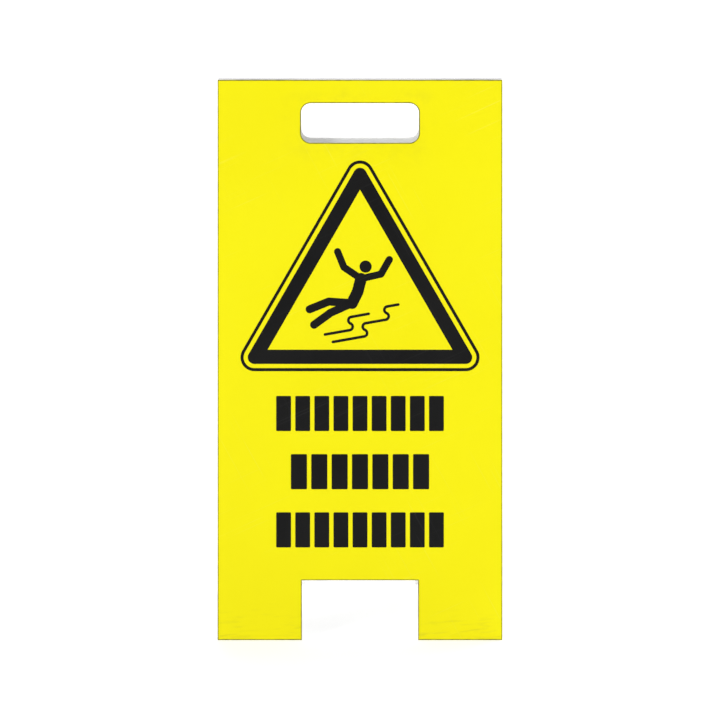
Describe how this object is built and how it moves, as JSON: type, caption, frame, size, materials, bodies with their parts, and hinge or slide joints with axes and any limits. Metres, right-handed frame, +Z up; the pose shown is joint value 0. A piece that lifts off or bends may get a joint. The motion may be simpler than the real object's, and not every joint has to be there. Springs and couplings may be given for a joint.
{
  "type": "folding floor sign",
  "caption": "Folding A-frame floor sign: yellow-faced white sheets with a hand slot, hinged at the top, a slip hazard triangle on each face, held open by a wire bail.",
  "frame": {"origin": "on the floor under the middle of the open sign, at the bottom centre of its bounding box", "axes": "+Z up, +X to the right seen from the front, the front sheet on the -Y side"},
  "size_m": [0.305, 0.246, 0.589],
  "materials": {
    "white_board": "satin rigid PVC board, white through its thickness",
    "yellow_film": "satin-gloss self-adhesive film, bright yellow",
    "black_film": "satin cut film, black",
    "black_nylon": "fine spark-eroded texture, moulded",
    "pin_steel": "bright drawn steel",
    "rivet_aluminium": "satin formed aluminium",
    "zinc_wire": "bright zinc-plated spring wire",
    "cap_vinyl": "dipped vinyl"
  },
  "bodies": {
    "front_leaf": {"front_panel": "white_board", "front_face_film": "yellow_film", "front_triangle_outline": "black_film", "front_triangle_band": "black_film", "front_slipping_figure": "black_film", "front_skid_marks": "black_film", "front_block_row_top": "black_film", "front_block_row_middle": "black_film", "front_block_row_bottom": "black_film", "left_hinge_front_leaf": "black_nylon", "left_hinge_front_rivets": "rivet_aluminium", "right_hinge_front_leaf": "black_nylon", "right_hinge_front_rivets": "rivet_aluminium", "left_hinge_pin": "pin_steel", "left_pivot_clip": "black_nylon", "left_pivot_clip_rivets": "rivet_aluminium", "right_hinge_pin": "pin_steel", "right_pivot_clip": "black_nylon", "right_pivot_clip_rivets": "rivet_aluminium"},
    "rear_leaf": {"rear_panel": "white_board", "rear_face_film": "yellow_film", "rear_triangle_outline": "black_film", "rear_triangle_band": "black_film", "rear_slipping_figure": "black_film", "rear_skid_marks": "black_film", "rear_block_row_top": "black_film", "rear_block_row_middle": "black_film", "rear_block_row_bottom": "black_film", "left_hinge_rear_leaf": "black_nylon", "left_hinge_rear_rivets": "rivet_aluminium", "right_hinge_rear_leaf": "black_nylon", "right_hinge_rear_rivets": "rivet_aluminium", "left_bail_guide": "black_nylon", "left_bail_guide_rivets": "rivet_aluminium", "right_bail_guide": "black_nylon", "right_bail_guide_rivets": "rivet_aluminium"},
    "spreader": {"left_bail_cap": "cap_vinyl", "right_bail_cap": "cap_vinyl", "wire_bail": "zinc_wire"}
  },
  "joints": [
    {"name": "fold", "type": "hinge", "parent": "front_leaf", "child": "rear_leaf", "pos_m": [0, 0, 0.57922], "axis": [-1, 0, 0], "range_deg": [0, 22]},
    {"name": "bail_pivot", "type": "hinge", "parent": "front_leaf", "child": "spreader", "pos_m": [0, -0.03816, 0.38289], "axis": [-1, 0, 0], "range_deg": [0, 44.2]}
  ],
  "couplings": [
    {"joint": "bail_pivot", "follows": "fold", "ratio": 2}
  ]
}
